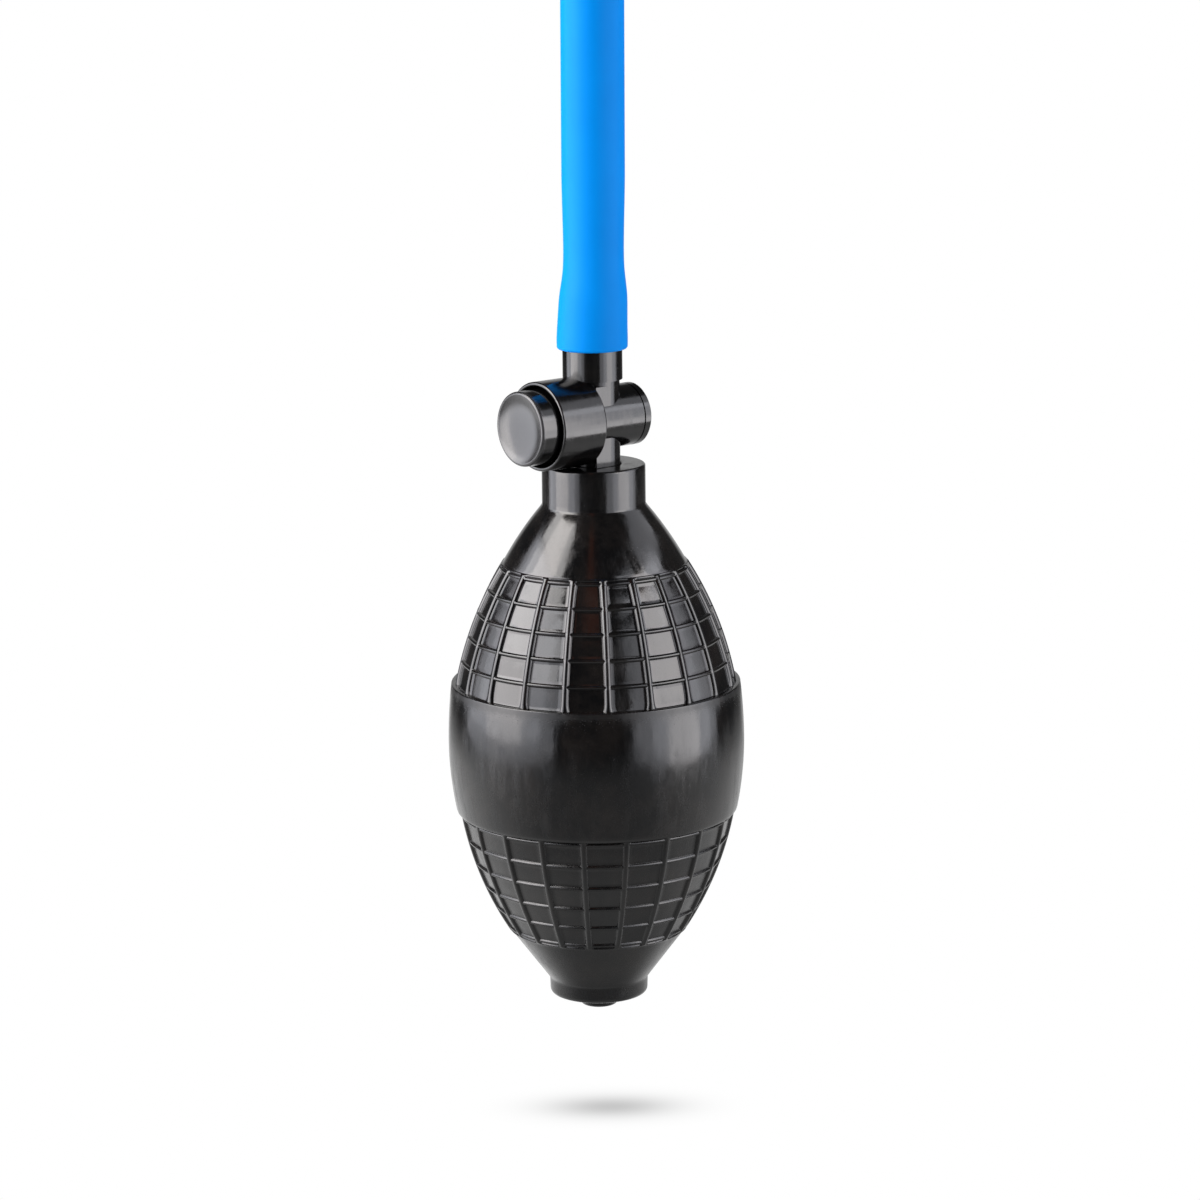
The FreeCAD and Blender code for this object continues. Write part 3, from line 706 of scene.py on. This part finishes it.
def floor():
    """Small oval patch of table under the pump, glowing evenly white, with a soft shadow painted into
    its glow.
    """
    bpy.ops.mesh.primitive_circle_add(vertices=128, radius=FLOOR_RADIUS, fill_type="NGON")
    obj = bpy.context.object
    obj.name = "floor"
    place = toward(-90, SHADOW_RIGHT, FLOOR_Z)
    turn = Matrix.Rotation(math.radians(VIEW_AZIMUTH), 4, "Z")
    obj.data.transform(Matrix.Diagonal((1.0, FLOOR_NARROWED, 1.0, 1.0)))
    obj.matrix_world = Matrix.Translation(place) @ turn
    s = Shader("floor_white", Roughness=0.8)
    # Painted shadow: the glow is dimmed by up to SHADOW_DARK in a soft oval under the pump.
    oval = s.stretched((1 / SHADOW_WIDE, 1 / SHADOW_DEEP, 1.0))
    size = s.tree.nodes.new("ShaderNodeVectorMath")
    size.operation = "LENGTH"
    s.link(oval, size.inputs[0])
    spread = s.math("MULTIPLY", s.math("POWER", size.outputs["Value"], 2.0), -0.5)
    painted_shadow = s.math("MULTIPLY", s.math("EXPONENT", spread, 0.0), SHADOW_DARK)
    light = s.math("SUBTRACT", 1.0, painted_shadow)
    s.colour(s.mix(s.noise(40, 2), (0.001, 0.001, 0.001), (0.002, 0.002, 0.002)))
    set_inputs(s.bsdf, {"Emission Color": (1, 1, 1, 1), "Specular IOR Level": 0.0})
    s.link(light, s.bsdf.inputs["Emission Strength"])
    obj.data.materials.append(s.material)
    obj.visible_glossy = False
    obj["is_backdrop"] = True


def hose_route(low, high):
    """Points on the hose's line, read from its NURBS spline."""
    data = bpy.data.curves.new("hose_route", "CURVE")
    data.dimensions = "3D"
    spline = data.splines.new("NURBS")
    points = [(0, 0, low), (0, 0, (low + high) / 2), (0, 0, high)]
    spline.points.add(len(points) - 1)
    for target, point in zip(spline.points, points):
        target.co = (*point, 1.0)
    spline.order_u = 3
    spline.use_endpoint_u = True
    spline.resolution_u = 24
    holder = bpy.data.objects.new("hose_route", data)
    mesh = bpy.data.meshes.new_from_object(holder)
    line = [tuple(v.co) for v in mesh.vertices]
    bpy.data.objects.remove(holder)
    return line


def lathe(name, profile, segments, place):
    """Closed turned mesh from (r, along) points; place gives the position of (x, y, along)."""
    vertices, faces = [], []
    for r, along in profile:
        for i in range(segments):
            a = 2 * math.pi * i / segments
            vertices.append(place(r * math.cos(a), r * math.sin(a), along))
    for row in range(len(profile)):
        faces += strip_faces(row * segments, (row + 1) % len(profile) * segments, segments)
    mesh = bpy.data.meshes.new(name)
    mesh.from_pydata(vertices, [], faces)
    work = bmesh.new()
    work.from_mesh(mesh)
    bmesh.ops.remove_doubles(work, verts=work.verts, dist=1e-7)
    bmesh.ops.recalc_face_normals(work, faces=work.faces)
    work.to_mesh(mesh)
    work.free()
    mesh.polygons.foreach_set("use_smooth", [True] * len(mesh.polygons))
    mesh.set_sharp_from_angle(angle=math.radians(SHARP))
    return add_object(name, mesh)


def smoothed(points, steps, rounds):
    """The points divided evenly and then eased, with the first and last kept."""
    fine = []
    for a, b in zip(points, points[1:]):
        fine += [a] + line_points(a, b, steps)[:-1]
    fine = np.array(fine + [points[-1]])
    for _ in range(rounds):
        fine[1:-1] = (fine[:-2] + 2 * fine[1:-1] + fine[2:]) / 4
    return [tuple(point) for point in fine]


def hose_lean(h):
    """How far to the right the hose's outside stands at a height."""
    def way(low, high):
        return min(max((h - low) / (high - low), 0.0), 1.0)

    off_spigot = way(LEAN_START, LEAN_FREE)
    eased = off_spigot**2 * (3 - 2 * off_spigot)
    above = way(LEAN_FREE, LEAN_BACK)
    return (LEAN_AT_SPIGOT * eased + LEAN_ABOVE * above) * way(LEAN_END, LEAN_BACK)


def hose():
    """Hose, stretched wide over the valve's spigot and straight above it."""
    low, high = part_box("hose")
    foot = (low.z - NECK_TOP) / MM
    top = (high.z - NECK_TOP) / MM
    profile = [(5.0, foot), (5.45, foot)]
    profile += arc_points((5.45, foot), (5.78, foot + 0.13), (5.91, foot + 0.46), 6)
    profile += smoothed(HOSE_OUTSIDE, 4, 4)
    profile += line_points(HOSE_OUTSIDE[-1], (5.25, top - 0.2), 20)
    profile += [(5.05, top), (4.0, top)] + HOSE_INSIDE
    right = toward(-90, 1.0)

    def place(x, y, h):
        lean = hose_lean(h) if math.hypot(x, y) > HOSE_BORE_WIDEST else 0.0
        return (x + lean * right.x) * MM, (y + lean * right.y) * MM, NECK_TOP + h * MM

    obj = lathe("hose_tube", profile, 96, place)
    obj.data.materials.append(hose_silicone())
    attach(obj, "pump")
    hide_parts("hose")
    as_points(hose_route(low.z, high.z))
    return obj


def button():
    """Release button: rounded rim, smooth dish, and the spring's pocket behind."""
    low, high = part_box("release_button")
    middle = (low.z + high.z) / 2
    face, back = -low.y / MM, -high.y / MM
    radius = (high.z - low.z) / 2 / MM
    lip = radius - RIM_ROUND
    profile = [(POCKET_INNER, back), (POCKET_INNER, POCKET_FLOOR), (POCKET_OUTER, POCKET_FLOOR)]
    profile += [(POCKET_OUTER, back), (radius - 0.15, back), (radius, back + 0.15)]
    profile += [(radius, face - RIM_ROUND)]
    profile += arc_points(profile[-1], (radius - 0.13, face - 0.16), (lip, face), 8)
    for i in range(1, DISH_STEPS + 1):
        x = 1 - i / DISH_STEPS
        dish = 1 - 0.4 * x**2 - 0.6 * x**6
        profile.append((max(lip * x, 0.0001), face - DISH_DEPTH * dish))
    profile += [(0.0001, STEM_HOLE_FLOOR), (STEM_HOLE, STEM_HOLE_FLOOR), (STEM_HOLE, back)]
    obj = lathe("button", profile, 128, lambda x, y, f: (x * MM, -f * MM, middle + y * MM))
    obj.data.materials.append(button_plastic())
    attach(obj, "button")
    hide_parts("release_button")


def spring():
    """Release spring: a coil of round wire."""
    low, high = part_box("release_spring")
    middle = (low.z + high.z) / 2
    wire = SPRING_WIRE / 2
    coil = (high.z - low.z) / 2 - wire
    length = high.y - low.y - 2 * wire
    steps, sides = STEPS_IN_TURN * SPRING_TURNS, WIRE_SIDES
    path = []
    for i in range(steps + 1):
        t = i / steps
        a = 2 * math.pi * SPRING_TURNS * t
        along = t - SPRING_CLOSED * math.sin(2 * math.pi * t) / (2 * math.pi)
        around = Vector((coil * math.cos(a), 0, coil * math.sin(a)))
        path.append(around + Vector((0, low.y + wire + length * along, middle)))
    vertices = []
    for i, point in enumerate(path):
        ahead = path[min(i + 1, steps)] - path[max(i - 1, 0)]
        out = (point - Vector((0, point.y, middle))).normalized()
        across = ahead.cross(out).normalized()
        for j in range(sides):
            b = 2 * math.pi * j / sides
            vertices.append(point + (out * math.cos(b) + across * math.sin(b)) * wire)
    faces = []
    for i in range(steps):
        faces += strip_faces(i * sides, (i + 1) * sides, sides)
    faces += [list(range(sides)), list(reversed(range(steps * sides, (steps + 1) * sides)))]
    mesh = bpy.data.meshes.new("spring")
    mesh.from_pydata(vertices, [], faces)
    mesh.polygons.foreach_set("use_smooth", [True] * len(mesh.polygons))
    mesh.set_sharp_from_angle(angle=math.radians(SHARP_ON_WIRE))
    obj = add_object("spring", mesh)
    obj.data.materials.append(metal("spring_steel", *STEEL, (1, 1, 1)))
    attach(obj, "pump")
    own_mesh(obj)
    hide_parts("release_spring")


def bulb():
    """The squeeze bulb as two halves, the front one and the back one."""
    points, normals = bulb_surface()
    rubber = bulb_rubber()
    for name, side, wall, nodes in (
        ("bulb_front", -1, "front_wall", ("bulb_front_wall", "bulb_shell")),
        ("bulb_back", 1, "back_wall", ("bulb_back_wall",)),
    ):
        start = points.shape[1] // 2 if side < 0 else 0
        obj = half_bulb(name, start, points, normals)
        obj.data.materials.append(rubber)
        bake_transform(obj)
        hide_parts(*nodes)


def dress_cad_nodes():
    """Materials of the pieces that show as they are in the frame."""
    gloss = valve_plastic()
    seal = seal_rubber()
    steel = metal("steel", *STEEL, (1.0, 0.1, 1.0))
    brass = metal("brass", (0.75, 0.56, 0.26), (0.66, 0.48, 0.2), 0.2, 0.34, (1.0, 1.0, 0.1))
    white = nylon()
    looks = {
        "valve_body": gloss, "rear_cap": gloss, "intake_valve_body": gloss, "hose_connector": gloss,
        "connector_grip": gloss, "rear_cap_seal": seal, "poppet_seal": seal,
        "outlet_ball": steel, "intake_ball": steel, "intake_filter": steel,
        "outlet_valve_seat": brass, "plunger_stem": white, "outlet_ball_cage": white,
        "intake_ball_cage": white,
    }
    for node, material in looks.items():
        obj = frame["nodes"][node]
        obj.data.materials.clear()
        obj.data.materials.append(material)
    for node in ("hose_connector", "connector_grip"):
        frame["nodes"][node].visible_diffuse = False
        frame["nodes"][node].visible_shadow = False


def save_sizes():
    """The CAD box and the visual model's box as lists of numbers, which are neither kept nor compared.
    """
    for name, box in (("cad", CAD_BOX), ("visual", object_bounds())):
        [[float(x) for x in corner] for corner in box]


camera()
tube = hose()
bulb()
button()
spring()
dress_cad_nodes()
lights(tube)
world()
floor()
bpy.context.scene.view_settings.view_transform = "Standard"
save_sizes()
